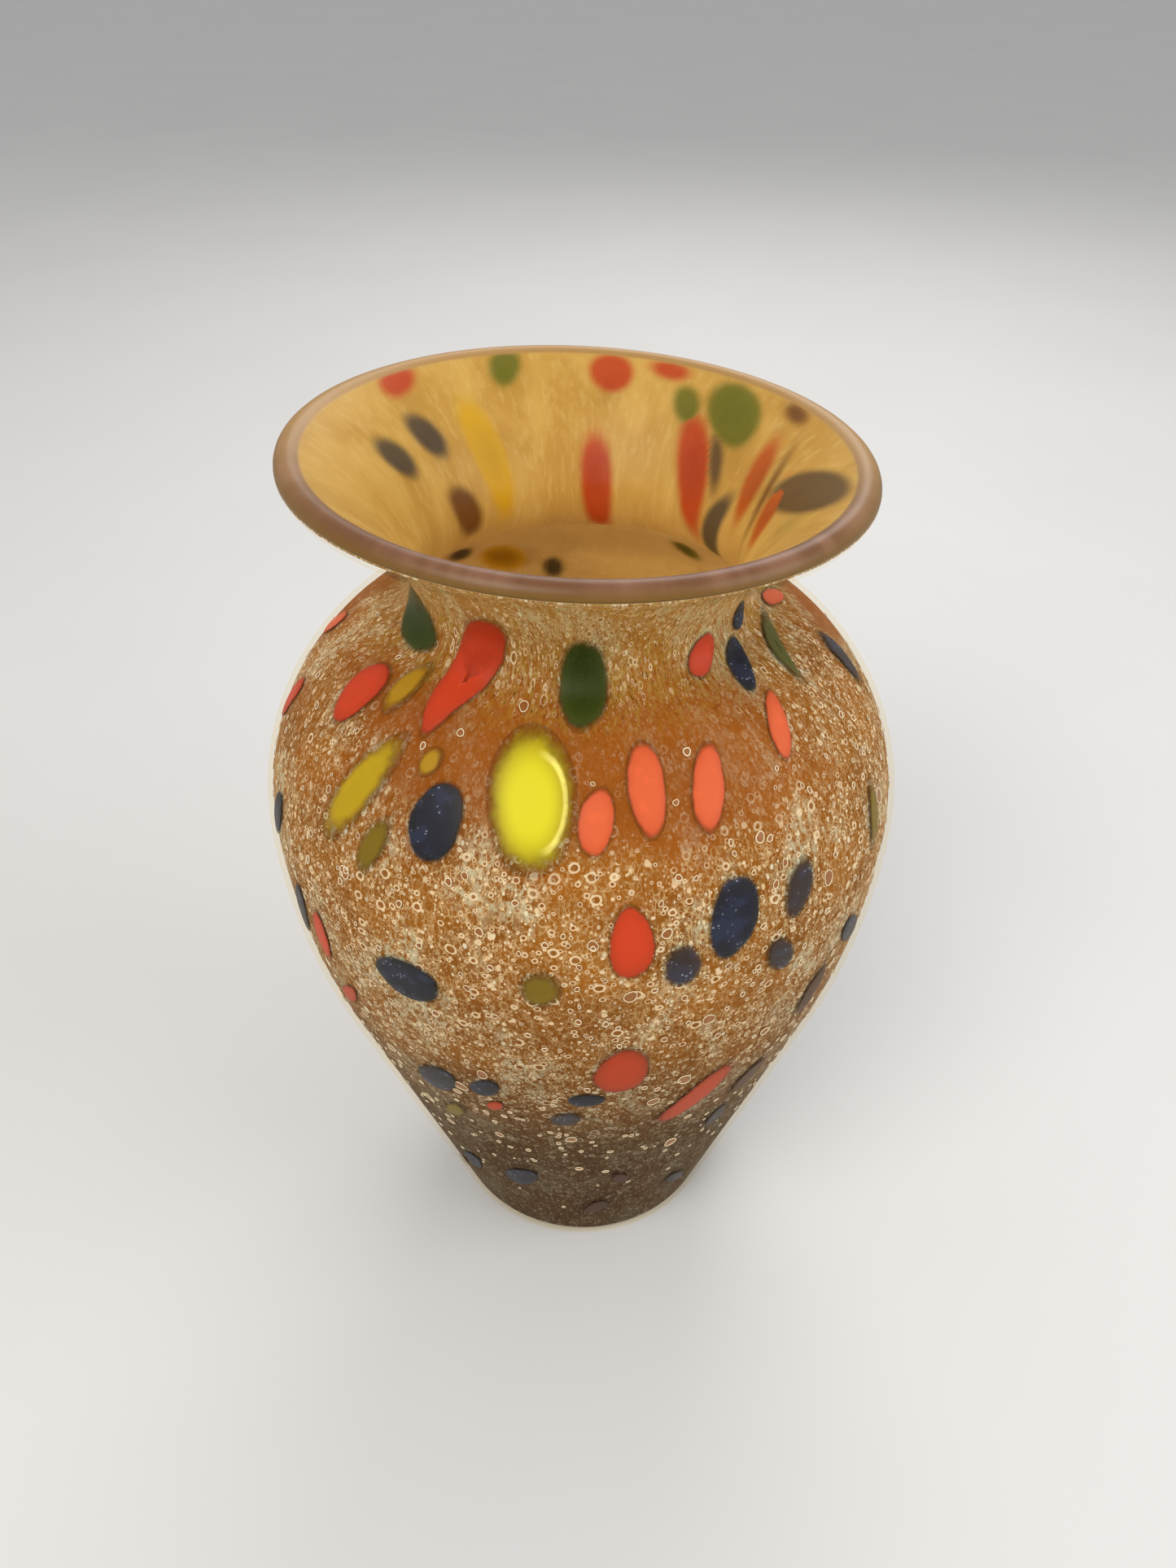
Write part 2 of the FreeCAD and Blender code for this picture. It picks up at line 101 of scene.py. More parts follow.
def lip_end(centre, radius):
    """Where a lip curve meets the rounded edge, on its outer side."""
    edge_centre, edge_radius, _ = edge_circle()
    gap = edge_centre - centre
    distance = math.hypot(*gap)
    along = (distance ** 2 + radius ** 2 - edge_radius ** 2) / (2 * distance)
    aside = math.sqrt(max(radius ** 2 - along ** 2, 0))
    unit = gap / distance
    return centre + along * unit + aside * np.array([unit[1], -unit[0]])


def wall_curve(depth, floor=None, corner=None, inside=False):
    """The wall's section `depth` inside the outer surface, from the axis to the lip.

    Every curve has the same number of points in each stretch, so that the same index lies
    at the same place on the wall whatever the depth.
    """
    floor = depth if floor is None else floor
    corner = FOOT_CORNER - depth if corner is None else corner
    lean = np.array([math.cos(WALL_LEAN), -math.sin(WALL_LEAN)])
    lower_centre = np.array([BELLY_RADIUS - LOWER_ARC, BELLY_HEIGHT])
    top = lower_centre + (LOWER_ARC - depth) * lean
    run = (top[1] + corner * math.sin(WALL_LEAN) - floor - corner) / math.cos(WALL_LEAN)
    low = top - run * np.array([math.sin(WALL_LEAN), math.cos(WALL_LEAN)])
    corner_centre = low - corner * lean

    shoulder_centre = np.array([BELLY_RADIUS - SHOULDER_ARC, BELLY_HEIGHT])
    reach = SHOULDER_ARC + NECK_ARC
    join = math.acos((NECK_RADIUS + NECK_ARC - shoulder_centre[0]) / reach)
    neck_centre = shoulder_centre + reach * np.array([math.cos(join), math.sin(join)])

    out = np.array([math.cos(NECK_LEAN), -math.sin(NECK_LEAN)])
    start = neck_centre - (NECK_ARC + depth) * out
    if inside:
        end = np.array([RIM_INNER_RADIUS, HEIGHT])
        lip_centre, lip_radius = lip_curve(start, end)
    else:
        lip_centre, lip_radius = lip_curve(neck_centre - NECK_ARC * out, edge_circle()[2])
        lip_radius += depth
        end = lip_end(lip_centre, lip_radius)
    end_angle = math.atan2(end[1] - lip_centre[1], end[0] - lip_centre[0])

    stretches = [
        straight((0, floor), (corner_centre[0], floor), count=14),
        arc(corner_centre, corner, -math.pi / 2, -WALL_LEAN, count=10)[1:],
        straight(low, top, count=60)[1:],
        arc(lower_centre, LOWER_ARC - depth, -WALL_LEAN, 0, count=50)[1:],
        arc(shoulder_centre, SHOULDER_ARC - depth, 0, join, count=60)[1:],
        arc(neck_centre, NECK_ARC + depth, join + math.pi, math.pi - NECK_LEAN, count=30)[1:],
        arc(lip_centre, lip_radius, math.pi - NECK_LEAN, end_angle, count=40)[1:],
    ]
    return np.concatenate(stretches)


OUTSIDE = wall_curve(0)
STEPS = np.hypot(*np.diff(OUTSIDE, axis=0).T)
ALONG = np.concatenate([[0], np.cumsum(STEPS)])      # way from the axis, over the foot and up the wall
SLOPE = np.gradient(OUTSIDE, axis=0)
SLOPE /= np.hypot(*SLOPE.T)[:, None]
OUTWARD = np.stack([SLOPE[:, 1], -SLOPE[:, 0]], 1)
FOOT_INDEX = 20            # first point above the foot


def along_at(height):
    """Way up the wall to a height."""
    return np.interp(height, OUTSIDE[FOOT_INDEX:, 1], ALONG[FOOT_INDEX:])


def radius_at(way):
    """The vase's radius at a way up the wall."""
    return np.interp(way, ALONG, OUTSIDE[:, 0])


def on_wall(azimuth, way, depth):
    """Points in the vase's frame from directions (radians), ways up the wall and depths, in mm."""
    radius = radius_at(way) - depth * np.interp(way, ALONG, OUTWARD[:, 0])
    height = np.interp(way, ALONG, OUTSIDE[:, 1]) - depth * np.interp(way, ALONG, OUTWARD[:, 1])
    return np.stack([radius * np.sin(azimuth), -radius * np.cos(azimuth), height], -1)


def wall_place(azimuth, way):
    """The coordinates that the materials' patterns use, which do not stretch where the vase is wide."""
    return np.stack([PATTERN_RADIUS * np.sin(azimuth), -PATTERN_RADIUS * np.cos(azimuth), way], -1)


def smooth(share):
    return share * share * (3 - 2 * share)


def settle(points):
    """Tilts the lip, as the maker's hand left it."""
    moved = np.array(points, float)
    share = smooth(np.clip((moved[:, 2] - TILT_FROM) / (HEIGHT - TILT_FROM), 0, 1))
    moved[:, 2] -= moved[:, 0] * math.tan(LIP_TILT) * share
    return moved


def oval_reach(side, up, length, width, lean):
    """How far a point lies from the middle of a leaning oval on the wall: 1 on the outline."""
    lean = math.radians(lean)
    along = (up * math.cos(lean) + side * math.sin(lean)) / (length / 2)
    across = (side * math.cos(lean) - up * math.sin(lean)) / (width / 2)
    return np.hypot(along, across)


# ---------------------------------------------------------------- meshes

def make_piece(name, points, faces, materials, fields, replaces=(), hidden=None):
    """A visible piece of glass. A second material lies on the faces marked in `hidden`."""
    mesh = bpy.data.meshes.new(name)
    mesh.from_pydata((settle(points) * MM).tolist(), [], faces)
    mesh.polygons.foreach_set("use_smooth", [True] * len(mesh.polygons))
    for key, values in fields.items():
        colours = values.shape[1] == 4
        layer = mesh.attributes.new(key, "FLOAT_COLOR" if colours else "FLOAT_VECTOR", "POINT")
        layer.data.foreach_set("color" if colours else "vector", values.astype(np.float32).ravel())
    for material in materials:
        mesh.materials.append(material)
    if hidden is not None:
        mesh.polygons.foreach_set("material_index", hidden.astype(np.int32))
    mesh.validate()
    mesh.update()
    piece = bpy.data.objects.new(name, mesh)
    bpy.context.scene.collection.objects.link(piece)
    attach(piece, "root")
    if replaces:
        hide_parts(*replaces)


def join_meshes(parts):
    """One mesh out of many: points, faces, and whatever fields the points carry."""
    faces = []
    start = 0
    for points, part_faces, *_ in parts:
        faces += [tuple(index + start for index in face) for face in part_faces]
        start += len(points)
    points, _, *fields = zip(*parts)
    return np.concatenate(points), faces, *[np.concatenate(field) for field in fields]


def turned(section, ways):
    """Points, faces and wall coordinates of a section turned about the axis.

    The section starts and ends on the axis; `ways` is each point's way up the wall.
    """
    turns = np.linspace(0, 2 * math.pi, TURNS, endpoint=False)
    radius, turn = np.meshgrid(section[1:-1, 0], turns)
    height, _ = np.meshgrid(section[1:-1, 1], turns)
    way, _ = np.meshgrid(ways[1:-1], turns)
    points = np.stack([radius * np.sin(turn), -radius * np.cos(turn), height], -1).reshape(-1, 3)
    wall = wall_place(turn, way).reshape(-1, 3)
    count = len(section) - 2
    faces = []
    for t in range(TURNS):
        here = t * count
        there = (t + 1) % TURNS * count
        for k in range(count - 1):
            faces.append((here + k, there + k, there + k + 1, here + k + 1))
    first = len(points)
    last = first + 1
    for t in range(TURNS):
        here = t * count
        there = (t + 1) % TURNS * count
        faces.append((first, there, here))
        faces.append((last, here + count - 1, there + count - 1))
    points = np.concatenate([points, [[0, 0, section[0][1]], [0, 0, section[-1][1]]]])
    wall = np.concatenate([wall, [[0, 0, ways[0]], [0, 0, ways[-1]]]])
    return points, faces, wall


def edge_stretch(start, end):
    """Points of the rounded lip edge between two points on it, ends left out."""
    centre, radius, _ = edge_circle()
    first = math.atan2(start[1] - centre[1], start[0] - centre[0])
    last = math.atan2(end[1] - centre[1], end[0] - centre[0])
    return arc(centre, radius, first, last, count=9)[1:-1]


def layer_section(outer, inner):
    """A layer's closed section, each point's way up the wall, and the number of points on the lip's edge."""
    edge = edge_stretch(outer[-1], inner[-1])
    section = np.concatenate([outer, edge, inner[::-1]])
    ways = np.concatenate([ALONG, np.full(len(edge), ALONG[-1]), ALONG[::-1]])
    return section, ways, len(edge)


def hidden_faces(points_in_section, first, last):
    """1 for the faces of a turned section between two of its points, 0 for the others."""
    strip = np.arange(points_in_section - 3)
    flags = ((strip >= first) & (strip < last)).astype(int)
    caps = [int(first == 0), int(last >= points_in_section - 3)] * TURNS
    return np.concatenate([np.tile(flags, TURNS), caps])


# ---------------------------------------------------------------- materials

class Graph:
    """A material's node tree, with short calls for the nodes it is made of."""

    def __init__(self, name):
        self.material = bpy.data.materials.new(name)
        self.material.use_nodes = True
        self.tree = self.material.node_tree
        self.tree.nodes.clear()

    def put(self, socket, value):
        if isinstance(value, bpy.types.NodeSocket):
            self.tree.links.new(value, socket)
        elif socket.type == "RGBA" and len(value) == 3:
            socket.default_value = (*value, 1.0)
        else:
            socket.default_value = value

    def node(self, kind, output=0, settings=None, **inputs):
        made = self.tree.nodes.new(kind)
        for key, value in (settings or {}).items():
            setattr(made, key, value)
        for key, value in inputs.items():
            self.put(made.inputs[key.replace("_", " ")], value)
        return made.outputs[output]

    def math(self, operation, a, b=0.0):
        made = self.tree.nodes.new("ShaderNodeMath")
        made.operation = operation
        self.put(made.inputs[0], a)
        self.put(made.inputs[1], b)
        return made.outputs[0]

    def plus(self, a, b):
        return self.math("ADD", a, b)

    def minus(self, a, b):
        return self.math("SUBTRACT", a, b)

    def times(self, a, b):
        return self.math("MULTIPLY", a, b)

    def less(self, share, weight=1.0):
        """1 where `share` is 0, falling by `weight` where it is 1."""
        return self.minus(1.0, self.times(share, weight))

    def step(self, value, low, high):
        """0 below `low`, 1 above `high`, smooth between; `low` may be the larger."""
        made = self.tree.nodes.new("ShaderNodeMapRange")
        made.interpolation_type = "SMOOTHSTEP"
        self.put(made.inputs[0], value)
        self.put(made.inputs[1], low)
        self.put(made.inputs[2], high)
        return made.outputs[0]

    def mix(self, share, a, b, blend="MIX"):
        made = self.tree.nodes.new("ShaderNodeMix")
        made.data_type = "RGBA"
        made.blend_type = blend
        self.put(made.inputs[0], share)
        self.put(made.inputs[6], a)
        self.put(made.inputs[7], b)
        return made.outputs[2]

    def paint(self, color, over, share, weight):
        """`over` laid on `color` where `share` is 1, as thickly as `weight` says."""
        return self.mix(self.times(share, weight), color, over)

    def attribute(self, name, output="Vector"):
        return self.node("ShaderNodeAttribute", output, {"attribute_name": name})

    def scaled(self, vector, scale):
        made = self.tree.nodes.new("ShaderNodeVectorMath")
        made.operation = "MULTIPLY"
        self.put(made.inputs[0], vector)
        made.inputs[1].default_value = scale
        return made.outputs[0]

    def split(self, vector):
        made = self.tree.nodes.new("ShaderNodeSeparateXYZ")
        self.put(made.inputs[0], vector)
        return made.outputs

    def noise(self, vector, scale, detail=2.0, roughness=0.5, distortion=0.0):
        return self.node("ShaderNodeTexNoise", Vector=vector, Scale=scale, Detail=detail,
                         Roughness=roughness, Distortion=distortion)

    def cells(self, vector, scale):
        """Distance to the nearest scattered point, and three random numbers of that point."""
        made = self.tree.nodes.new("ShaderNodeTexVoronoi")
        self.put(made.inputs["Vector"], vector)
        made.inputs["Scale"].default_value = scale
        chance = self.tree.nodes.new("ShaderNodeSeparateColor")
        self.tree.links.new(made.outputs["Color"], chance.inputs[0])
        return made.outputs["Distance"], chance.outputs

    def facing_out(self):
        """1 on a wall's own side, 0 on its back."""
        return self.less(self.node("ShaderNodeNewGeometry", "Backfacing"))

    def clear(self, color=(1.0, 1.0, 1.0)):
        return self.node("ShaderNodeBsdfTransparent", Color=color)

    def glow(self, color):
        """Light that comes through from the other side."""
        return self.node("ShaderNodeBsdfTranslucent", Color=color)

    def blend(self, share, a, b):
        made = self.tree.nodes.new("ShaderNodeMixShader")
        self.put(made.inputs[0], share)
        self.put(made.inputs[1], a)
        self.put(made.inputs[2], b)
        return made.outputs[0]

    def principled(self, color, roughness, **inputs):
        return self.node("ShaderNodeBsdfPrincipled", Base_Color=color, Roughness=roughness, **inputs)

    def finish(self, surface):
        out = self.tree.nodes.new("ShaderNodeOutputMaterial")
        self.put(out.inputs["Surface"], surface)
        return self.material


# The patterns are drawn out up the wall, as the glass was when it was blown.
DRAWN_OUT = (1.0, 1.0, 0.55)
DRAWN_FAR = (1.0, 1.0, 0.38)

# Ways up the wall, in millimetres: what is named is absent at the first and whole at the second.
BELOW_BELLY = (236.0, 130.0)
BELLY_SHADE = (236.0, 120.0)
CASING_LOW = (215.0, 90.0)
SHOULDER = (250.0, 275.0)
NECK = (290.0, 310.0)
NECK_SPECKS = (292.0, 308.0)
BARE_BELOW_NECK = (316.0, 300.0)
INNER_NECK = (262.0, 277.0)
INNER_NECK_TOP = (300.0, 282.0)


def frit_ground(look, wall, way, low):
    """Amber, golden at the neck, and browner and darker towards the foot: partly the glass's own deeper
    colour there, partly painted shade under the belly.
    """
    drift = look.step(look.noise(wall, 0.05, 3.0), 0.35, 0.68)
    ground = look.mix(drift, (0.185, 0.058, 0.002), (0.305, 0.105, 0.006))
    ground = look.paint(ground, (0.34, 0.115, 0.003), look.step(way, *NECK), 0.75)
    # Painted shade below the belly, mixed with the glass's own browner colour there.
    return look.paint(ground, (0.105, 0.028, 0.001), low, 0.9)


def bare_glass(look, wall, way):
    """1 where no frit took: at the front of the shoulder, and in patches round it."""
    _, ahead, _ = look.split(wall)
    shaken = look.plus(way, look.times(look.noise(wall, 0.09, 2.0), 26.0))
    front = look.times(look.step(ahead, -36.0, -58.0), look.step(shaken, 276.0, 292.0))
    patches = look.step(look.noise(wall, 0.030, 1.0), 0.46, 0.62)
    patches = look.times(patches, look.step(way, *SHOULDER))
    return look.times(look.math("MAXIMUM", front, patches), look.step(way, *BARE_BELOW_NECK))


def add_dust(look, color, wall, thick):
    """Pale dust, drawn out up the wall."""
    dust = look.noise(look.scaled(wall, DRAWN_FAR), 1.15, 4.0, 0.78)
    return look.paint(color, (0.50, 0.34, 0.15), look.times(look.step(dust, 0.47, 0.62), thick), 0.45)


def add_lace(look, color, drawn, thick):
    """Lace of pale glass round countless tiny bubbles, coarse and fine, broken here and there."""
    for scale, width, weight in ((0.75, 0.10, 0.75), (1.35, 0.14, 0.60)):
        sway = look.node("ShaderNodeTexNoise", "Color", Vector=drawn, Scale=0.9, Detail=2.0)
        shaken = look.mix(0.35, drawn, sway, "ADD")
        to_edge = {"feature": "DISTANCE_TO_EDGE"}
        gap = look.node("ShaderNodeTexVoronoi", "Distance", to_edge, Vector=shaken, Scale=scale)
        line = look.step(gap, width, width * 0.3)
        broken = look.step(look.noise(drawn, scale * 0.7, 2.0), 0.44, 0.58)
        color = look.paint(color, (0.76, 0.60, 0.35), look.times(line, broken), look.times(thick, weight))
    return color


def add_clouds(look, color, cloud, wisps, cover, low):
    """Pale green and white clouds, thinner below the belly."""
    cloudy = look.times(look.step(cloud, 0.50, 0.64), look.step(wisps, 0.44, 0.58))
    cloudy = look.times(look.times(cloudy, cover), look.less(low, 0.55))
    return look.paint(color, (0.66, 0.72, 0.55), cloudy, 0.80)


def add_grains(look, color, drawn, thick):
    """Grains of pale glass in three sizes."""
    smallest = 0.12
    for scale, largest, chance_from in ((1.30, 0.50, 0.60), (0.75, 0.46, 0.60), (0.40, 0.34, 0.74)):
        distance, chance = look.cells(drawn, scale)
        size = look.plus(smallest, look.times(chance[1], largest - smallest))
        grain = look.step(distance, size, look.times(size, 0.5))
        picked = look.step(chance[0], chance_from, chance_from + 0.04)
        tint = look.mix(chance[2], (0.98, 0.76, 0.44), (0.95, 1.0, 0.84))
        color = look.paint(color, tint, look.times(look.times(grain, picked), thick), 0.95)
    return color


def add_bubble_pools_and_reflections(look, color, wall, cover):
    """Small bubbles: rings of painted reflected light round amber."""
    for scale, chance_from in ((0.62, 0.55), (0.42, 0.45), (0.26, 0.60)):
        distance, chance = look.cells(look.scaled(wall, (1.0, 1.0, 0.85)), scale)
        wobble = look.minus(look.noise(wall, 0.9, 1.0), 0.5)
        distance = look.plus(distance, look.times(wobble, 0.12))
        radius = look.plus(0.12, look.times(chance[1], 0.17))
        ring = look.step(look.math("ABSOLUTE", look.minus(distance, radius)), 0.085, 0.03)
        inside = look.step(distance, radius, look.times(radius, 0.8))
        picked = look.times(look.step(chance[0], chance_from, chance_from + 0.03), cover)
        color = look.paint(color, (0.20, 0.060, 0.004), look.times(inside, picked), 0.8)
        # Painted reflection: the bright ring of light that each bubble throws back.
        color = look.paint(color, (0.98, 0.86, 0.62), look.times(ring, picked), 0.9)
    return color


def add_neck_specks(look, color, wall, way, wisps):
    """Dark specks and drawn threads below the neck, over a yellow-green dust."""
    near_neck = look.step(way, *NECK_SPECKS)
    color = look.paint(color, (0.46, 0.37, 0.05), look.times(look.step(wisps, 0.46, 0.60), near_neck), 0.4)
    for scale, size in ((0.75, 0.28), (1.3, 0.30)):
        distance, chance = look.cells(look.scaled(wall, (1.0, 1.0, 0.4)), scale)
        dark = look.times(look.step(distance, size, size * 0.4), look.step(chance[0], 0.60, 0.64))
        color = look.paint(color, (0.035, 0.020, 0.003), look.times(dark, near_neck), 0.85)
    return color


def add_belly_shade(look, color, way):
    """The wall curves in under the belly, where less light comes through the glass."""
    shade = look.less(look.step(way, *BELLY_SHADE), 0.72)
    grey = look.node("ShaderNodeCombineColor", Red=shade, Green=shade, Blue=shade)
    return look.mix(1.0, color, grey, "MULTIPLY")


def frit_material():
    """Amber ground rolled in crushed pale glass: dust, lace, clouds, grains and small bubbles, whose bright
    rings are painted reflections.
    """
    look = Graph("frit_glass")
    wall = look.attribute("wall")
    drawn = look.scaled(wall, DRAWN_OUT)
    way = look.split(wall)[2]
    low = look.step(way, *BELOW_BELLY)
    cloud = look.noise(drawn, 0.062, 4.0, 0.62, 0.7)
    wisps = look.noise(drawn, 0.62, 4.0, 0.75, 0.5)

    bare = bare_glass(look, wall, way)
    cover = look.less(bare, 0.86)
    thick = look.times(look.plus(0.50, look.times(look.step(cloud, 0.36, 0.56), 0.50)), cover)
    thick = look.times(thick, look.less(low, 0.42))

    color = look.paint(frit_ground(look, wall, way, low), (0.315, 0.078, 0.003), bare, 0.8)
    color = add_dust(look, color, wall, thick)
    color = add_lace(look, color, drawn, thick)
    color = add_clouds(look, color, cloud, wisps, cover, low)
    color = add_grains(look, color, drawn, thick)
    color = add_bubble_pools_and_reflections(look, color, wall, cover)
    color = add_neck_specks(look, color, wall, way, wisps)
    color = add_belly_shade(look, color, way)

    solid = look.principled(color, 0.6, Specular_IOR_Level=0.06)
    glow = look.glow(look.mix(0.68, color, (1.0, 0.80, 0.46)))
    share = look.minus(0.80, look.times(look.facing_out(), look.plus(0.42, look.times(low, 0.30))))
    return look.finish(look.blend(share, solid, glow))


def casing_material():
    """Clear glass etched to a satin: see-through face on, a little hazy at a glancing angle."""
    look = Graph("clear_casing")
    wall = look.attribute("wall")
    low = look.step(look.split(wall)[2], *CASING_LOW)
    facing = look.node("ShaderNodeLayerWeight", "Facing", Blend=0.30)
    haze = look.plus(0.004, look.times(look.step(facing, 0.45, 1.0), 0.030))
    grain = look.plus(0.8, look.times(look.noise(wall, 0.12, 3.0), 0.4))
    haze = look.times(look.times(haze, grain), look.less(low, 0.75))
    milky = look.node("ShaderNodeBsdfDiffuse", Color=(0.80, 0.58, 0.34))
    veil = look.blend(haze, look.clear((1.0, 0.945, 0.82)), milky)
    sheen = look.node("ShaderNodeBsdfGlossy", Color=(1.0, 0.80, 0.52), Roughness=0.38)
    strength = look.minus(0.14, look.times(low, 0.11))
    surface = look.blend(look.times(look.node("ShaderNodeFresnel", IOR=1.25), strength), veil, sheen)
    return look.finish(look.blend(look.facing_out(), look.clear(), surface))


def interface_material():
    """Where two layers of glass are melted together there is nothing to see."""
    look = Graph("melted_joint")
    return look.finish(look.clear())


def lip_edge_color(look, wall, ahead, lower):
    """The thick edge of the lip: brown at the front, partly painted with the pinkish sheen of its satin face,
    golden at the back, olive on its lower side.
    """
    blotch = look.step(look.noise(wall, 0.11, 3.0), 0.4, 0.65)
    # The front's mauve-brown is partly the exposed amber's own colour, partly painted sheen of the satin
    # edge.
    brown = look.mix(blotch, (0.135, 0.052, 0.020), (0.200, 0.090, 0.048))
    edge = look.mix(look.step(ahead, 20.0, -60.0), (0.34, 0.185, 0.050), brown)
    return look.mix(lower, edge, (0.17, 0.085, 0.008))


def amber_material():
    """The gather: smooth golden amber inside, with the chips behind it painted on as soft shapes in the
    colours of the light that comes through them.
    """
    look = Graph("amber_glass")
    wall = look.attribute("wall")
    _, ahead, way = look.split(wall)
    drift = look.step(look.noise(wall, 0.05, 3.0, 0.5, 0.4), 0.35, 0.7)
    color = look.mix(drift, (0.60, 0.325, 0.046), (0.74, 0.455, 0.095))
    mottle = look.noise(look.scaled(wall, (1.0, 1.0, 0.5)), 0.40, 3.0, 0.65)
    color = look.paint(color, (0.84, 0.60, 0.20), look.step(mottle, 0.46, 0.70), 0.38)
    neck = look.times(look.step(way, *INNER_NECK), look.step(way, *INNER_NECK_TOP))
    color = look.paint(color, (0.46, 0.215, 0.008), neck, 0.55)
    # Painted light: the colour that light coming through the chips behind the wall brings.
    share = look.attribute("behind", "Alpha")
    color = look.mix(share, color, look.attribute("behind", "Color"))
    edge, lower, _ = look.split(look.attribute("edge"))
    color = look.mix(edge, color, lip_edge_color(look, wall, ahead, lower))
    satin = look.noise(wall, 2.5, 2.0)
    bump = look.node("ShaderNodeBump", Strength=0.04, Distance=0.0004, Height=satin)
    solid = look.principled(color, 0.42, Normal=bump, Specular_IOR_Level=0.3)
    glow = look.glow(look.mix(look.minus(0.5, look.times(share, 0.5)), color, (1.0, 0.84, 0.50)))
    return look.finish(look.blend(look.minus(0.48, look.times(edge, 0.42)), solid, glow))


CHIP_COLOURS = {
    # heart, towards the edge, how soft the edge is
    "red": ((0.52, 0.042, 0.010), (0.40, 0.034, 0.006), 0.16),
    "pink": ((0.62, 0.105, 0.036), (0.52, 0.080, 0.024), 0.20),
    "orange": ((0.42, 0.036, 0.004), (0.28, 0.030, 0.004), 0.20),
    "navy": ((0.006, 0.009, 0.024), (0.010, 0.011, 0.018), 0.14),
    "slate": ((0.028, 0.020, 0.022), (0.045, 0.024, 0.015), 0.34),
    "yellow": ((0.42, 0.36, 0.001), (0.33, 0.24, 0.002), 0.34),
    "gold": ((0.42, 0.29, 0.004), (0.36, 0.20, 0.005), 0.48),
    "ochre": ((0.37, 0.205, 0.004), (0.32, 0.150, 0.006), 0.50),
    "olive": ((0.17, 0.115, 0.005), (0.18, 0.095, 0.006), 0.46),
    "green": ((0.020, 0.040, 0.001), (0.040, 0.052, 0.003), 0.20),
    "sage": ((0.085, 0.092, 0.018), (0.12, 0.095, 0.020), 0.44),
    "maroon": ((0.045, 0.012, 0.004), (0.065, 0.018, 0.005), 0.32),
}
EDGE_AT = 0.98             # share of the oval at which a chip has faded out


def add_glints(look, color, wall):
    """White grains caught in dark glass, gathered in a scribble: partly their own pale colour, partly painted
    glints.
    """
    patch = look.step(look.noise(wall, 0.16, 2.0), 0.47, 0.60)
    distance, chance = look.cells(wall, 1.1)
    glint = look.times(look.step(distance, 0.34, 0.12), look.step(chance[0], 0.62, 0.66))
    # The white specks are partly the grains' own colour, partly painted glints.
    color = look.paint(color, (0.46, 0.54, 0.66), look.times(glint, patch), 0.8)
    return look.paint(color, (0.035, 0.055, 0.14), patch, 0.25)


def add_bright_heart_and_highlight(look, color, across, along, outward):
    """A bright heart in a greener halo, and a painted highlight: the lit edge of the pocket on one side."""
    color = look.mix(look.step(outward, 0.80, 0.35), color, (0.62, 0.58, 0.001))
    # Painted highlight: a bright crescent on one side of the heart.
    shift = look.minus(across, 0.12)
    lens = look.plus(look.times(shift, shift), look.times(look.times(along, along), 0.85))
    line = look.step(look.math("ABSOLUTE", look.minus(lens, 0.36)), 0.09, 0.02)
    return look.paint(color, (1.0, 0.93, 0.22), look.times(line, look.step(across, 0.10, 0.55)), 0.8)


def chip_material(colour):
    """A melted-in chip: even colour, cloudy towards its edge, with grains caught in the dark ones, partly
    painted as glints.
    """
    heart, rim, softness = CHIP_COLOURS[colour]
    lighter = tuple(min(1.0, 1.35 * part) for part in heart)
    look = Graph("chip_" + colour)
    across, along, outward = look.split(look.attribute("chip"))
    wall = look.attribute("wall")
    cloud = look.noise(wall, 0.22, 3.0, 0.6, 0.3)
    worn = look.plus(outward, look.times(look.minus(cloud, 0.5), 0.5))
    color = look.mix(look.step(worn, 0.45, 1.0), heart, rim)
    color = look.paint(color, lighter, look.step(cloud, 0.5, 0.75), 0.3)
    if colour in ("navy", "slate"):
        color = add_glints(look, color, wall)
    if colour == "yellow":
        color = add_bright_heart_and_highlight(look, color, across, along, outward)
    solid = look.principled(color, 0.5, Specular_IOR_Level=0.2)
    ragged = look.times(look.minus(look.noise(wall, 0.35, 1.0), 0.5), softness * 0.6)
    edge = look.step(look.plus(outward, ragged), EDGE_AT - softness, EDGE_AT)
    return look.finish(look.blend(edge, solid, look.clear()))


def bubble_material(name, scale, first, second):
    look = Graph(name)
    tone = look.noise(look.attribute("wall"), scale, 2.0)
    return look.finish(look.principled(look.mix(tone, first, second), 0.4))


def floor_material():
    look = Graph("floor")
    tone = look.noise(look.node("ShaderNodeTexCoord", "Object"), 6.0, 3.0)
    return look.finish(look.principled(look.mix(tone, (0.60, 0.59, 0.575), (0.64, 0.63, 0.61)), 0.6))


# ---------------------------------------------------------------- chips of coloured glass

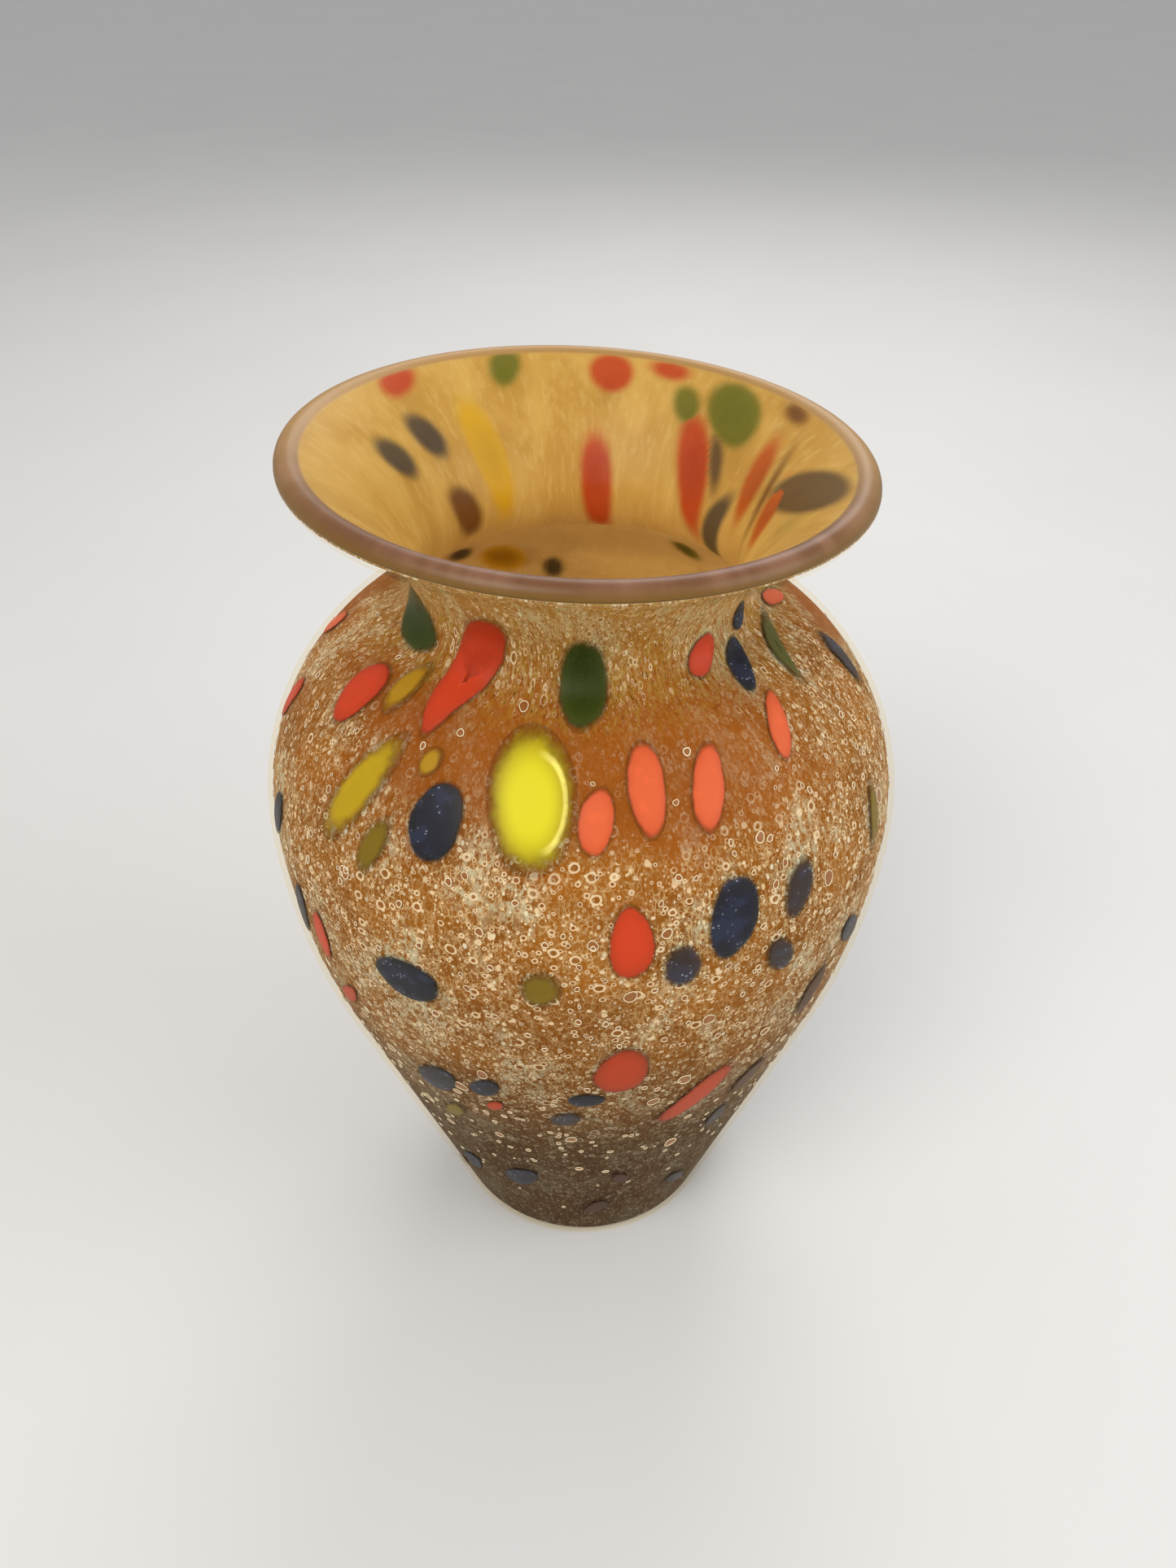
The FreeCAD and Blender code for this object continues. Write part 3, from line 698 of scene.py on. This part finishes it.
# name, colour, degrees round from the front, height, length, width, lean, egg shape, bend
CHIPS = [
    ("yellow_large", "yellow", -9, 222, 37, 23, -7, 0.06, 0.0),
    ("green_centre", "green", 1, 239, 23, 13, 4, 0.0, 0.0),
    ("red_large", "red", -33, 237, 39, 13, 17, 0.18, 0.08),
    ("red_left", "red", -59, 228, 22, 13, 10, 0.05, 0.0),
    ("olive_left", "ochre", -48, 233, 19, 8, 6, 0.0, 0.0),
    ("yellow_long", "gold", -44, 215, 40, 12, 19, -0.05, 0.0),
    ("amber_faint", "ochre", -31, 225, 9, 6, 13, 0.0, 0.0),
    ("olive_low_left", "olive", -37, 205, 19, 8, 15, 0.0, 0.0),
    ("navy_left", "navy", -26, 215, 21, 15, 3, 0.0, 0.0),
    ("green_neck_left", "green", -61, 241, 23, 13, -80, 0.20, 0.0),
    ("pink_shoulder_left", "pink", -96, 224, 14, 8, 30, 0.0, 0.0),
    ("red_left_edge", "red", -83, 210, 19, 8, 20, 0.0, 0.0),
    ("red_centre", "pink", 3, 219, 18, 9, 13, 0.0, 0.0),
    ("red_small_right", "red", 39, 240, 13, 7, 55, 0.1, 0.0),
    ("navy_neck", "navy", 61, 243, 9, 5, 60, 0.0, 0.0),
    ("navy_right_upper", "navy", 50, 236, 17, 7, 30, 0.0, 0.05),
    ("red_right_long", "pink", 47, 227, 20, 7, 26, -0.1, 0.0),
    ("green_streak", "sage", 67, 234, 26, 6, 39, 0.1, 0.2),
    ("pink_right", "pink", 91, 236, 14, 6, -60, 0.0, 0.0),
    ("slate_right", "slate", 84, 222, 21, 9, 12, 0.0, 0.0),
    ("red_middle", "pink", 13, 224, 25, 10, 5, 0.0, 0.0),
    ("red_middle_right", "pink", 25, 222, 24, 9, 21, 0.0, 0.0),
    ("olive_right_edge", "olive", 62, 193, 22, 7, 14, 0.0, 0.0),
    ("navy_large_right", "navy", 25, 193, 25, 14, 12, 0.0, 0.0),
    ("navy_dark_right", "slate", 38, 193, 18, 10, 20, 0.0, 0.0),
    ("slate_small_right", "slate", 34, 175, 15, 9, -30, 0.0, 0.0),
    ("brown_low", "slate", 16, 183, 14, 11, -8, 0.0, 0.0),
    ("red_pear", "red", 8, 193, 21, 12, 0, -0.20, 0.0),
    ("navy_right_edge", "navy", 56, 159, 18, 9, -40, 0.0, 0.0),
    ("maroon_right_edge", "maroon", 46, 146, 21, 10, 20, 0.0, 0.0),
    ("orange_low", "orange", 7, 143, 25, 16, 10, 0.0, 0.0),
    ("red_low_long", "orange", 23, 118, 38, 12, 30, 0.0, 0.0),
    ("maroon_low", "maroon", 37, 112, 21, 10, 15, 0.0, 0.0),
    ("slate_low_right", "slate", 34, 88, 18, 8, 0, 0.0, 0.0),
    ("navy_low_flat", "navy", 1, 128, 11, 8, 80, 0.0, 0.0),
    ("slate_low_flat", "slate", -3, 114, 12, 9, 30, 0.0, 0.0),
    ("navy_left_edge", "navy", -68, 187, 18, 9, 20, 0.0, 0.0),
    ("navy_left_low", "navy", -59, 163, 24, 8, 15, 0.0, 0.0),
    ("red_left_low", "red", -51, 163, 20, 8, 5, 0.0, 0.0),
    ("orange_left_low", "orange", -47, 143, 17, 6, 40, 0.0, 0.0),
    ("navy_low_left", "navy", -29, 170, 22, 15, 86, 0.0, 0.0),
    ("olive_low", "olive", -6, 178, 13, 11, 9, 0.0, 0.0),
    ("navy_foot_left", "navy", -29, 122, 23, 12, 30, 0.0, 0.0),
    ("navy_foot_left_2", "navy", -18, 128, 14, 8, 31, 0.0, 0.0),
    ("red_foot", "maroon", 5, 29, 16, 9, 20, 0.0, 0.0),
]

# The chips that share a CAD node: colour, degrees round from the front, height, length, width, lean.
CHIP_GROUPS = {
    "chips_foot_small": [
        ("orange", -17, 117, 9, 5, 30),
        ("olive", -29, 100, 18, 7, 28),
        ("navy", -37, 46, 20, 8, 20),
        ("olive", -50, 26, 16, 6, 20),
        ("navy", -18, 54, 22, 11, 25),
        ("maroon", 11, 58, 12, 7, -14),
        ("slate", 33, 36, 18, 8, -29),
    ],
    "chips_lip_red": [
        ("red", -130, 269, 9, 7, -60),
        ("red", 172, 267, 10, 9, 0),
        ("red", 157, 270, 8, 4, 80),
        ("maroon", 118, 269, 8, 4, 80),
        ("red", 138, 255, 18, 9, 22),
        ("red", 174, 251, 12, 8, 6),
        ("orange", 110, 259, 14, 7, 20),
        ("orange", 93, 257, 11, 6, 30),
    ],
    "chips_lip_navy": [
        ("navy", -128, 261, 11, 8, 30),
        ("navy", -112, 260, 11, 8, 40),
        ("navy", 126, 262, 11, 5, 30),
        ("slate", 75, 262, 18, 12, -70),
    ],
    "chips_lip_yellow": [
        ("yellow", -147, 257, 17, 9, 9),
        ("maroon", -131, 250, 7, 6, 30),
    ],
    "chips_lip_green": [
        ("green", -160, 269, 9, 8, -30),
        ("green", 148, 264, 8, 6, 40),
        ("green", 135, 268, 12, 8, 70),
    ],
}

# The far side, placed by the same rule as in the CAD model: height, number and longest chip of each row.
BACK_FROM = 108.0
BACK_TO = 258.0
BACK_ROWS = [
    (58, 3, 20),
    (92, 4, 24),
    (126, 4, 26),
    (158, 5, 24),
    (186, 5, 24),
]
# High up on the far side, some of them seen through the mouth: colour, degrees, height, length, width, lean.
BACK_SEEN = [
    ("yellow", 200, 212, 23, 14, 41),
    ("navy", 187, 203, 12, 7, 8),
    ("navy", 213, 220, 12, 8, 30),
    ("green", 152, 220, 14, 7, 20),
    ("red", 236, 214, 20, 10, -15),
    ("red", 122, 212, 18, 9, 15),
]
BACK_COLOURS = ["red", "navy", "yellow", "red", "green"]


def back_chips():
    groups = {}
    for chip in BACK_SEEN:
        groups.setdefault("chips_back_" + chip[0], []).append(chip)
    number = 0
    for row, (height, count, longest) in enumerate(BACK_ROWS):
        step = (BACK_TO - BACK_FROM) / count
        for place in range(count):
            sway = math.sin(2.4 * number + row)
            azimuth = BACK_FROM + step * (place + 0.5 + 0.22 * sway + 0.18 * (row % 2))
            length = longest * (0.72 + 0.28 * math.cos(1.7 * number))
            width = length * (0.46 + 0.12 * math.sin(3.1 * number))
            colour = BACK_COLOURS[(number + row) % len(BACK_COLOURS)]
            chip = (colour, azimuth, height + 7 * math.sin(1.3 * number), length, width, 30 * sway)
            groups.setdefault("chips_back_" + colour, []).append(chip)
            number += 1
    return groups


def every_chip():
    """(colour, degrees, height, length, width, lean) of all chips."""
    found = [chip[1:7] for chip in CHIPS]
    for members in [*CHIP_GROUPS.values(), *back_chips().values()]:
        found += members
    return found


CHIP_DEPTH_TOP = 0.90      # mm under the surface at the chip's middle
CHIP_DEPTH_FOOT = 1.52     # mm under the surface where it meets the frit
CHIP_DEPTH_UNDER = 1.54    # mm under the surface at the middle of its underside
RINGS = 12
SPOKES = 56


def chip_outline(angle, seed, egg):
    """How far the edge lies from the middle in each direction, as a share of the oval."""
    wobble = 0.035 * np.cos(2 * angle + seed) + 0.025 * np.cos(3 * angle + 2.1 * seed)
    wobble += 0.012 * np.cos(5 * angle + 3.7 * seed)
    return 1 + wobble + egg * np.cos(angle) * 0.5


def chip_faces():
    """Faces between the rings, to the middle point on top, and to the one underneath."""
    top = SPOKES * RINGS
    under = top + 1
    faces = []
    for s in range(SPOKES):
        here = s * RINGS
        there = (s + 1) % SPOKES * RINGS
        faces.append((top, here, there))
        for r in range(RINGS - 1):
            faces.append((here + r, here + r + 1, there + r + 1, there + r))
        faces.append((under, there + RINGS - 1, here + RINGS - 1))
    return faces


def chip_mesh(azimuth, height, length, width, lean, seed, egg=0.0, bend=0.0):
    """A low dome that follows the wall, closed underneath."""
    spokes = np.linspace(0, 2 * math.pi, SPOKES, endpoint=False)
    rings = np.linspace(0, 1, RINGS + 1)[1:] ** 0.8
    ring, spoke = np.meshgrid(rings, spokes)
    reach = chip_outline(spoke, seed, egg) * ring
    along = reach * np.cos(spoke) * length / 2
    across = reach * np.sin(spoke) * width / 2 * (1 + egg * np.cos(spoke))
    across = across + bend * length * ((along / length * 2) ** 2 - 0.3)
    dome = (1 - ring ** 6) ** 0.5
    depth = CHIP_DEPTH_FOOT - (CHIP_DEPTH_FOOT - CHIP_DEPTH_TOP) * dome

    lean = math.radians(lean)
    up = along * math.cos(lean) - across * math.sin(lean)
    side = along * math.sin(lean) + across * math.cos(lean)
    middle_turn = math.radians(azimuth)
    middle_way = along_at(height)
    way = middle_way + up
    turn = middle_turn + side / radius_at(way)

    points = [*on_wall(turn, way, depth).reshape(-1, 3),
              on_wall(middle_turn, middle_way, CHIP_DEPTH_TOP),
              on_wall(middle_turn, middle_way, CHIP_DEPTH_UNDER)]
    middle_wall = wall_place(middle_turn, middle_way)
    wall = [*wall_place(turn, way).reshape(-1, 3), middle_wall, middle_wall]
    place = np.stack([across / (width / 2), along / (length / 2), ring], -1).reshape(-1, 3)
    place = [*place, (0, 0, 0), (0, 0, 0.9)]
    return np.array(points), chip_faces(), np.array(wall), np.array(place)


def add_chip_piece(name, parts, material, node):
    points, faces, wall, place = join_meshes(parts)
    make_piece(name, points, faces, [material], {"wall": wall, "chip": place}, [node])


def add_chips():
    materials = {colour: chip_material(colour) for colour in CHIP_COLOURS}
    for number, (name, colour, azimuth, height, length, width, lean, egg, bend) in enumerate(CHIPS):
        part = chip_mesh(azimuth, height, length, width, lean, 0.7 * number, egg, bend)
        add_chip_piece("look_chip_" + name, [part], materials[colour], "chip_" + name)
    for group, members in {**CHIP_GROUPS, **back_chips()}.items():
        for colour in sorted({chip[0] for chip in members}):
            parts = [chip_mesh(*chip[1:], 1.3 * place, 0.05 * math.sin(place))
                     for place, chip in enumerate(members) if chip[0] == colour]
            add_chip_piece("look_%s_%s" % (group, colour), parts, materials[colour], group)


# ---------------------------------------------------------------- bubbles

BUBBLES = 1250
BUBBLE_LOWEST = 25.0
BUBBLE_SPAN = 215.0
RIM_SPOKES = 16
RIM_SIDES = 5


def clear_of_chips(azimuth, height, chips):
    """Whether a bubble lies at least a millimetre outside every chip."""
    way = along_at(height)
    radius = radius_at(way)
    for _, degrees, middle, length, width, lean in chips:
        side = math.remainder(azimuth - math.radians(degrees), 2 * math.pi) * radius
        if oval_reach(side, way - along_at(middle), length + 2, width + 2, lean) < 1:
            return False
    return True


def draw_bubble(random):
    """Half width, half height, seed of the outline, thickness of the rim and depth, in mm."""
    size = 0.32 + 0.55 * random.power(1.2)
    if random.random() < 0.16:
        size += 1.35 * random.random() ** 2
    tall = size * random.uniform(0.9, 1.3)
    seed = random.uniform(0, 6.28)
    tube = min(0.13, 0.05 + 0.09 * size) * random.uniform(0.8, 1.25)
    depth = 1.38 - 0.1 * random.random()
    return size, tall, seed, tube, depth


def bubble_parts(azimuth, middle, size, tall, seed, tube, depth):
    """The rim of a bubble, painted pale as the light it reflects, and the pool of amber inside it, both
    following the wall.
    """
    spokes = np.linspace(0, 2 * math.pi, RIM_SPOKES, endpoint=False)
    sides = np.linspace(0, 2 * math.pi, RIM_SIDES, endpoint=False)
    outline = 1 + 0.10 * np.cos(2 * spokes + seed) + 0.06 * np.cos(3 * spokes + 2 * seed)

    spoke, side = np.meshgrid(spokes, sides, indexing="ij")
    reach = outline[:, None] + tube / size * np.cos(side)
    way = middle + tall * reach * np.sin(spoke)
    turn = azimuth + size * reach * np.cos(spoke) / radius_at(way)
    points = on_wall(turn, way, depth - tube * np.sin(side)).reshape(-1, 3)
    faces = []
    for s in range(RIM_SPOKES):
        here = s * RIM_SIDES
        there = (s + 1) % RIM_SPOKES * RIM_SIDES
        for k in range(RIM_SIDES):
            after = (k + 1) % RIM_SIDES
            faces.append((here + k, there + k, there + after, here + after))
    rim = points, faces, wall_place(turn, way).reshape(-1, 3)

    way = middle + tall * outline * np.sin(spokes)
    turn = azimuth + size * outline * np.cos(spokes) / radius_at(way)
    way = np.append(way, middle)
    turn = np.append(turn, azimuth)
    depths = np.append(np.full(RIM_SPOKES, depth + 0.12), depth - 0.03)
    faces = [(s, (s + 1) % RIM_SPOKES, RIM_SPOKES) for s in range(RIM_SPOKES)]
    return rim, (on_wall(turn, way, depths), faces, wall_place(turn, way))


def add_bubbles():
    """Bubbles frozen in the frit: each a ring of painted reflected light round a small pool of clear amber.
    """
    random = np.random.default_rng(7)
    chips = every_chip()
    rims = []
    pools = []
    while len(rims) < BUBBLES:
        azimuth = random.uniform(-math.pi, math.pi)
        height = BUBBLE_LOWEST + BUBBLE_SPAN * random.beta(2.4, 2.0)
        if not clear_of_chips(azimuth, height, chips):
            continue
        rim, pool = bubble_parts(azimuth, along_at(height), *draw_bubble(random))
        rims.append(rim)
        pools.append(pool)
    # The rims' pale colour is painted reflection: the bright ring that a bubble throws back.
    pale = bubble_material("bubble_reflection_rim", 0.4, (0.70, 0.56, 0.34), (0.88, 0.84, 0.68))
    amber = bubble_material("bubble_heart", 0.3, (0.20, 0.065, 0.014), (0.33, 0.12, 0.022))
    for name, parts, material in (("bubble_reflection_rims", rims, pale), ("bubble_hearts", pools, amber)):
        points, faces, wall = join_meshes(parts)
        make_piece(name, points, faces, [material], {"wall": wall})


# ---------------------------------------------------------------- the three layers of glass

# The lip's chips as the curved glass in front of them shows them, longer than they are:
# colour, degrees, height on the inner wall, length, width, lean.
LIP_SHAPES = [
    ("red", -130, 277, 15, 8, -75),
    ("green", -160, 276, 13, 9, -38),
    ("red", 172, 275, 14, 12, 80),
    ("red", 157, 277, 13, 6, 85),
    ("green", 149, 271, 12, 8, 40),
    ("green", 134, 272, 24, 15, 60),
    ("slate", 131, 261, 18, 5, 34),
    ("maroon", 118, 277, 11, 5, 80),
    ("red", 138, 257, 33, 11, 27),
    ("navy", -128, 266, 14, 9, 33),
    ("navy", -112, 265, 14, 9, 42),
    ("yellow", -147, 258, 30, 11, 9),
    ("red", 174, 249, 26, 10, 6),
    ("maroon", -131, 247, 14, 9, 44),
    ("navy", 121, 245, 20, 8, -20),
    ("orange", 112, 262, 26, 8, 20),
    ("orange", 94, 260, 22, 8, 31),
    ("maroon", 103, 262, 24, 3, 25),
    ("slate", 86, 270, 38, 15, -62),
]
LIP_FROM = 240.0           # chips from here up show as LIP_SHAPES says

# What the amber glass makes of the colours behind it: the colours of the light that comes through each chip,
# painted on the inner wall.
SEEN_COLOURS = {
    "red": (0.60, 0.035, 0.006),
    "pink": (0.60, 0.06, 0.01),
    "orange": (0.58, 0.090, 0.010),
    "yellow": (0.80, 0.46, 0.006),
    "gold": (0.70, 0.40, 0.01),
    "green": (0.135, 0.165, 0.010),
    "navy": (0.055, 0.050, 0.045),
    "slate": (0.10, 0.060, 0.030),
    "maroon": (0.16, 0.045, 0.010),
}
SEEN_OTHERWISE = (0.40, 0.22, 0.02)
SEEN_BLUR = 3.0            # mm over which a shape's edge fades
SEEN_MOST = 0.88


def colours_behind(turn, way, inner):
    """The chips as they show through the gather, painted on as the light they let through: colour and share
    at each inner point.
    """
    seen = np.zeros((len(turn), 4))
    seen[:, :3] = (0.5, 0.26, 0.07)
    shapes = [(chip[0], chip[1], along_at(chip[2]), *chip[3:]) for chip in every_chip() if chip[2] < LIP_FROM]
    for colour, degrees, height, *oval in LIP_SHAPES:
        middle = np.interp(height, inner[FOOT_INDEX:, 1], ALONG[FOOT_INDEX:])
        shapes.append((colour, degrees, middle, *oval))
    for colour, degrees, middle, length, width, lean in shapes:
        side = (turn - math.radians(degrees) + math.pi) % (2 * math.pi) - math.pi
        distance = oval_reach(side * radius_at(middle), way - middle, length, width, lean)
        blur = SEEN_BLUR / width
        share = SEEN_MOST * smooth(np.clip((1 + blur - distance) / (2 * blur), 0, 1))
        covered = share > seen[:, 3]
        seen[covered, :3] = SEEN_COLOURS.get(colour, SEEN_OTHERWISE)
        seen[covered, 3] = share[covered]
    return seen


def lip_edge_shares(points_in_section, start, edge_count):
    """For each point, whether it is on the lip's edge, and how far down its lower side."""
    ring = np.arange(points_in_section - 2)
    on_edge = ((ring >= start) & (ring <= start + edge_count + 2)).astype(float)
    lower = np.clip((start + 4 - ring) / 4, 0, 1) * on_edge
    shares = np.zeros((TURNS * len(ring) + 2, 3))
    shares[:-2, 0] = np.tile(on_edge, TURNS)
    shares[:-2, 1] = np.tile(lower, TURNS)
    return shares


def add_gather(interface):
    outer = wall_curve(FRIT_END)
    inner = wall_curve(WALL, FLOOR_HEIGHT, FLOOR_CORNER, inside=True)
    section, ways, edge_count = layer_section(outer, inner)
    points, faces, wall = turned(section, ways)
    fields = {
        "wall": wall,
        "behind": colours_behind(np.arctan2(wall[:, 0], -wall[:, 1]), wall[:, 2], inner),
        "edge": lip_edge_shares(len(section), len(outer) - 2, edge_count),
    }
    hidden = hidden_faces(len(section), 0, len(outer) - 2)
    materials = [amber_material(), interface]
    make_piece("look_inner_gather", points, faces, materials, fields, ["inner_gather"], hidden)


def add_layer(name, outer_depth, inner_depth, materials, node):
    outer = wall_curve(outer_depth)
    section, ways, edge_count = layer_section(outer, wall_curve(inner_depth))
    points, faces, wall = turned(section, ways)
    hidden = hidden_faces(len(section), len(outer) + edge_count - 2, len(section) - 2)
    make_piece(name, points, faces, materials, {"wall": wall}, [node], hidden)


# ---------------------------------------------------------------- stage

CAMERA_HEIGHT = 0.3947
CAMERA_BACK = 0.2833
CAMERA_RIGHT = 0.002
CAMERA_DIP = math.radians(38.39)
SENSOR = 36.0              # mm along the picture's long side
LENS = 27.03
FLOOR_HALF = 30.0
LIT_POINT = (0, 0, 0.15)


def add_camera():
    data = bpy.data.cameras.new("camera")
    data.sensor_width = SENSOR
    data.lens = LENS
    camera = bpy.data.objects.new("camera", data)
    camera.location = (CAMERA_RIGHT, -CAMERA_BACK, CAMERA_HEIGHT)
    camera.rotation_euler = (math.pi / 2 - CAMERA_DIP, 0, 0)
    bpy.context.scene.collection.objects.link(camera)
    bpy.context.scene.camera = camera


def add_light(name, location, size, power, color):
    data = bpy.data.lights.new(name, "AREA")
    data.shape = "DISK"
    data.size = size
    data.energy = power
    data.color = color
    light = bpy.data.objects.new(name, data)
    light.location = location
    direction = Vector(LIT_POINT) - Vector(location)
    light.rotation_euler = direction.to_track_quat("-Z", "Y").to_euler()
    bpy.context.scene.collection.objects.link(light)


def add_floor():
    corners = [(-FLOOR_HALF, -FLOOR_HALF, 0), (FLOOR_HALF, -FLOOR_HALF, 0),
               (FLOOR_HALF, FLOOR_HALF, 0), (-FLOOR_HALF, FLOOR_HALF, 0)]
    mesh = bpy.data.meshes.new("floor")
    mesh.from_pydata(corners, [], [(0, 1, 2, 3)])
    mesh.materials.append(floor_material())
    floor = bpy.data.objects.new("floor", mesh)
    bpy.context.scene.collection.objects.link(floor)


def add_world():
    world = bpy.data.worlds.new("world")
    world.use_nodes = True
    background = world.node_tree.nodes["Background"]
    background.inputs["Color"].default_value = (0.92, 0.93, 0.95, 1)
    background.inputs["Strength"].default_value = 0.6
    bpy.context.scene.world = world


def add_glass():
    interface = interface_material()
    add_gather(interface)
    frit = [frit_material(), interface]
    add_layer("look_frit_layer", CASING, FRIT_END - 0.02, frit, "frit_layer")
    casing = [casing_material(), interface]
    add_layer("look_outer_casing", 0.0, CASING - 0.05, casing, "outer_casing")
    add_chips()
    add_bubbles()


add_glass()
add_camera()
add_floor()
add_world()
add_light("key", (-0.55, -0.9, 1.3), 0.9, 15, (1.0, 0.97, 0.93))
add_light("fill", (1.1, -0.4, 0.8), 1.0, 8, (0.95, 0.97, 1.0))
add_light("back", (0.2, 1.1, 1.1), 0.9, 8, (1.0, 0.98, 0.95))
bpy.context.scene.view_settings.view_transform = "Standard"
